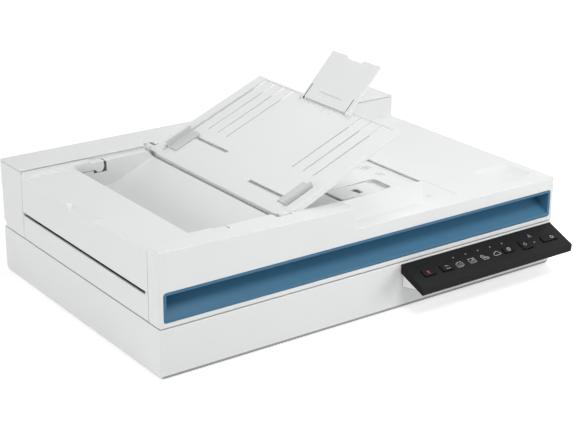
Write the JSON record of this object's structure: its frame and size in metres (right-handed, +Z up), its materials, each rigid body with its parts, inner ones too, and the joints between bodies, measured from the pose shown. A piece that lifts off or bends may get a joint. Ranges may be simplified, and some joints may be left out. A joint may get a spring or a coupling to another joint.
{
  "type": "document scanner",
  "caption": "Desktop flatbed document scanner with a sheet feeder in its lid, a folding input tray with extender, a blue finger grip and a sloped button panel.",
  "frame": {"origin": "centre of the bounding box's foot print, on the table that the feet stand on", "axes": "+X to the right along the front, +Y to the back, +Z up"},
  "size_m": [0.5, 0.362, 0.226],
  "materials": {
    "white_plastic": "fine matt texture",
    "pale_grey_plastic": "fine matt texture",
    "grey_plastic": "matt",
    "black_plastic": "satin",
    "key_plastic": "satin",
    "blue_plastic": "satin",
    "rubber": "matt",
    "white_backing": "matt",
    "glass": "polished",
    "steel": "bright",
    "circuit_board": "satin",
    "gear_plastic": "natural",
    "clear_plastic": "polished"
  },
  "bodies": {
    "base": {"base_tub": "white_plastic", "platen_frame": "pale_grey_plastic", "platen_glass": "glass", "strip_glass": "glass", "foot_front_left": "rubber", "foot_front_right": "rubber", "foot_rear_left": "rubber", "foot_rear_right": "rubber", "guide_rod": "steel", "drive_belt": "rubber", "carriage_motor": "steel", "main_board": "circuit_board", "power_jack": "black_plastic", "usb_socket": "steel", "panel_housing": "black_plastic", "panel_fairing": "white_plastic", "panel_board": "circuit_board", "status_lenses": "clear_plastic"},
    "carriage": {"scan_carriage": "black_plastic", "image_sensor": "black_plastic"},
    "carriage_drive": {"drive_pulley": "steel"},
    "carriage_idler": {"idler_pulley": "gear_plastic"},
    "cancel_key": {"cancel_button": "key_plastic"},
    "select_key": {"select_button": "key_plastic"},
    "duplex_key": {"duplex_button": "key_plastic"},
    "start_key": {"start_button": "key_plastic"},
    "power_key": {"power_button": "key_plastic"},
    "hinge_posts": {"hinge_post_left": "grey_plastic", "hinge_post_right": "grey_plastic"},
    "lid": {"hinge_leaf_left": "steel", "hinge_leaf_right": "steel", "hinge_pin_left": "steel", "hinge_pin_right": "steel", "lid_cover": "white_plastic", "rear_bar_cap": "white_plastic", "finger_grip": "blue_plastic", "lid_frame": "pale_grey_plastic", "lid_pad": "white_backing", "output_bay": "white_plastic", "feeder_frame": "grey_plastic", "side_panel": "white_plastic", "feeder_motor": "steel", "duplex_sensor": "black_plastic"},
    "stop": {"output_stop": "white_plastic"},
    "cover": {"feeder_cover": "white_plastic"},
    "feed": {"feed_shaft": "gear_plastic", "feed_roller": "rubber"},
    "pick": {"pick_shaft": "gear_plastic", "pick_roller": "rubber"},
    "exit": {"exit_roller": "grey_plastic"},
    "pinch": {"pinch_roller": "grey_plastic"},
    "idler": {"idler_gear": "gear_plastic"},
    "pinion": {"motor_pinion": "steel"},
    "tray": {"input_tray": "white_plastic", "tray_bottom": "pale_grey_plastic"},
    "front_guide": {"guide_front": "pale_grey_plastic"},
    "rear_guide": {"guide_rear": "pale_grey_plastic"},
    "guide_wheel": {"guide_pinion": "gear_plastic"},
    "extender": {"tray_extender": "white_plastic"}
  },
  "joints": [
    {"name": "carriage_travel", "type": "slide", "parent": "base", "child": "carriage", "axis": [1, 0, 0], "range_m": [0, 0.32]},
    {"name": "carriage_drive_spin", "type": "hinge", "parent": "base", "child": "carriage_drive", "pos_m": [0.198, -0.1112, 0.0184], "axis": [0, 0, -1], "range_deg": [0, 2300]},
    {"name": "carriage_idler_spin", "type": "hinge", "parent": "base", "child": "carriage_idler", "pos_m": [-0.232, -0.1112, 0.0184], "axis": [0, 0, -1], "range_deg": [0, 2300]},
    {"name": "cancel_press", "type": "slide", "parent": "base", "child": "cancel_key", "axis": [0, 0.3754, -0.9269], "range_m": [0, 0.0005], "stiffness_N_per_m": 2500, "springref_m": -0.0003},
    {"name": "select_press", "type": "slide", "parent": "base", "child": "select_key", "axis": [0, 0.3754, -0.9269], "range_m": [0, 0.0005], "stiffness_N_per_m": 2500, "springref_m": -0.0003},
    {"name": "duplex_press", "type": "slide", "parent": "base", "child": "duplex_key", "axis": [0, 0.3754, -0.9269], "range_m": [0, 0.0005], "stiffness_N_per_m": 2500, "springref_m": -0.0003},
    {"name": "start_press", "type": "slide", "parent": "base", "child": "start_key", "axis": [0, 0.3754, -0.9269], "range_m": [0, 0.0005], "stiffness_N_per_m": 2500, "springref_m": -0.0003},
    {"name": "power_press", "type": "slide", "parent": "base", "child": "power_key", "axis": [0, 0.3754, -0.9269], "range_m": [0, 0.0005], "stiffness_N_per_m": 2500, "springref_m": -0.0003},
    {"name": "lid_lift", "type": "slide", "parent": "base", "child": "hinge_posts", "axis": [0, 0, 1], "range_m": [0, 0.012]},
    {"name": "lid_hinge", "type": "hinge", "parent": "hinge_posts", "child": "lid", "pos_m": [0, 0.17205, 0.0614], "axis": [-1, 0, 0], "range_deg": [0, 70]},
    {"name": "output_stop_hinge", "type": "hinge", "parent": "lid", "child": "stop", "pos_m": [0.08, -0.0437, 0.0948], "axis": [0, 1, 0], "range_deg": [0, 150]},
    {"name": "feeder_cover_hinge", "type": "hinge", "parent": "lid", "child": "cover", "pos_m": [-0.163, 0.0037, 0.1184], "axis": [0, 1, 0], "range_deg": [0, 95]},
    {"name": "feed_spin", "type": "hinge", "parent": "lid", "child": "feed", "pos_m": [-0.208, 0.0048, 0.0736], "axis": [0, 1, 0], "continuous": true},
    {"name": "pick_spin", "type": "hinge", "parent": "lid", "child": "pick", "pos_m": [-0.20601, 0.0048, 0.10353], "axis": [0, 1, 0], "continuous": true},
    {"name": "exit_spin", "type": "hinge", "parent": "lid", "child": "exit", "pos_m": [-0.11154, 0.0048, 0.0874], "axis": [0, 1, 0], "continuous": true},
    {"name": "pinch_spin", "type": "hinge", "parent": "lid", "child": "pinch", "pos_m": [-0.11154, 0.0048, 0.0985], "axis": [0, 1, 0], "continuous": true},
    {"name": "idler_spin", "type": "hinge", "parent": "lid", "child": "idler", "pos_m": [-0.16671, 0.1269, 0.08466], "axis": [0, 1, 0], "continuous": true},
    {"name": "motor_spin", "type": "hinge", "parent": "lid", "child": "pinion", "pos_m": [-0.13483, 0.1269, 0.09321], "axis": [0, 1, 0], "continuous": true},
    {"name": "input_tray_hinge", "type": "hinge", "parent": "lid", "child": "tray", "pos_m": [-0.093, 0.0069, 0.1214], "axis": [0, 1, 0], "range_deg": [0, 22.5]},
    {"name": "paper_guide_slide", "type": "slide", "parent": "tray", "child": "front_guide", "axis": [0, 1, 0], "range_m": [0, 0.06]},
    {"name": "rear_guide_slide", "type": "slide", "parent": "tray", "child": "rear_guide", "axis": [0, -1, 0], "range_m": [0, 0.06]},
    {"name": "guide_wheel_spin", "type": "hinge", "parent": "tray", "child": "guide_wheel", "pos_m": [-0.06187, 0.0069, 0.12986], "axis": [0.3827, 0, -0.9239], "range_deg": [0, 480]},
    {"name": "extender_hinge", "type": "hinge", "parent": "tray", "child": "extender", "pos_m": [0.04714, 0.0022, 0.18026], "axis": [0, -1, 0], "range_deg": [0, 155.5]}
  ],
  "couplings": [
    {"joint": "carriage_drive_spin", "follows": "carriage_travel", "rad_per_m": 125},
    {"joint": "carriage_idler_spin", "follows": "carriage_travel", "rad_per_m": 125},
    {"joint": "pick_spin", "follows": "feed_spin", "ratio": -1.2222},
    {"joint": "idler_spin", "follows": "feed_spin", "ratio": -0.62857},
    {"joint": "motor_spin", "follows": "feed_spin", "ratio": 2.4444},
    {"joint": "exit_spin", "follows": "feed_spin", "ratio": -0.95652},
    {"joint": "pinch_spin", "follows": "feed_spin", "ratio": 1.5543},
    {"joint": "rear_guide_slide", "follows": "paper_guide_slide", "ratio": 1},
    {"joint": "guide_wheel_spin", "follows": "paper_guide_slide", "rad_per_m": 138.89}
  ]
}
